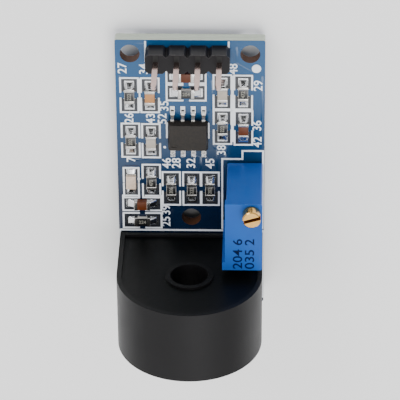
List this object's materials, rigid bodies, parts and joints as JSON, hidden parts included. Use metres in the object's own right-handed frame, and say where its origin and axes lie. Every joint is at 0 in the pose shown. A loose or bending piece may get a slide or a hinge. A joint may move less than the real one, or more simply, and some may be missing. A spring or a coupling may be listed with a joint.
{
  "type": "current sensor module",
  "caption": "Small circuit board with a potted ring current transformer, an amplifier, a screw trimmer and a pin header; a conductor passes through the round hole to be sensed.",
  "frame": {"origin": "under the middle of the board's outline, at the ends of the soldered tails that the module rests on", "axes": "+Z out of the component side, +Y along the board towards the header end, +X across the board towards the trimmer"},
  "size_m": [0.0182, 0.0376, 0.0217],
  "materials": {
    "solder_mask": "glossy blue solder mask over glass laminate",
    "solder": "bright tin solder",
    "header_plastic": "satin black moulding",
    "header_metal": "plated square wire",
    "case_plastic": "satin black moulding",
    "potting": "smooth black resin",
    "core_metal": "wound alloy tape, hidden",
    "winding_copper": "enamelled copper wire, hidden",
    "tail_metal": "tinned wire",
    "package_plastic": "fine matt moulding compound",
    "lead_metal": "tin plated sheet",
    "trimmer_plastic": "satin blue moulding",
    "screw_brass": "bright turned brass",
    "seal_rubber": "soft black ring, hidden",
    "rotor_plastic": "plain moulding, hidden",
    "white_ceramic": "fired alumina",
    "resistor_black": "black glaze with tinned ends",
    "capacitor_brown": "brown fired ceramic with tinned ends",
    "capacitor_pale": "pale fired ceramic with tinned ends",
    "lens": "milky moulded resin"
  },
  "bodies": {
    "module": {"circuit_board": "solder_mask", "solder_pads": "solder", "surface_solder": "solder", "underside_solder": "solder", "header_block": "header_plastic", "header_pin_1": "header_metal", "header_pin_2": "header_metal", "header_pin_3": "header_metal", "header_pin_4": "header_metal", "transformer_case": "case_plastic", "transformer_potting": "potting", "transformer_core": "core_metal", "transformer_winding": "winding_copper", "transformer_pin_1": "tail_metal", "transformer_pin_2": "tail_metal", "transformer_pin_3": "tail_metal", "transformer_pin_4": "tail_metal", "amplifier_body": "package_plastic", "amplifier_leads": "lead_metal", "trimmer_housing": "trimmer_plastic", "trimmer_base": "trimmer_plastic", "trimmer_seal": "seal_rubber", "trimmer_element": "white_ceramic", "trimmer_terminal_1": "tail_metal", "trimmer_terminal_2": "tail_metal", "trimmer_terminal_3": "tail_metal", "resistor_1": "resistor_black", "resistor_2": "resistor_black", "resistor_3": "resistor_black", "resistor_4": "resistor_black", "resistor_5": "resistor_black", "resistor_6": "resistor_black", "resistor_7": "resistor_black", "resistor_8": "resistor_black", "resistor_9": "resistor_black", "resistor_10": "resistor_black", "capacitor_1": "capacitor_pale", "capacitor_2": "capacitor_brown", "capacitor_3": "capacitor_pale", "capacitor_4": "capacitor_brown", "capacitor_5": "capacitor_pale", "capacitor_6": "capacitor_brown", "led_base": "white_ceramic", "led_lens": "lens"},
    "screw": {"trimmer_screw": "screw_brass"},
    "rotor": {"trimmer_rotor": "rotor_plastic"}
  },
  "joints": [
    {"name": "screw_turn", "type": "hinge", "parent": "module", "child": "screw", "pos_m": [0.00755, 0.0006, 0.003], "axis": [0, 0, 1], "continuous": true},
    {"name": "rotor_turn", "type": "hinge", "parent": "module", "child": "rotor", "pos_m": [0.00755, -0.003, 0.0082], "axis": [1, 0, 0], "continuous": true}
  ],
  "couplings": [
    {"joint": "rotor_turn", "follows": "screw_turn", "ratio": 0.035714}
  ]
}
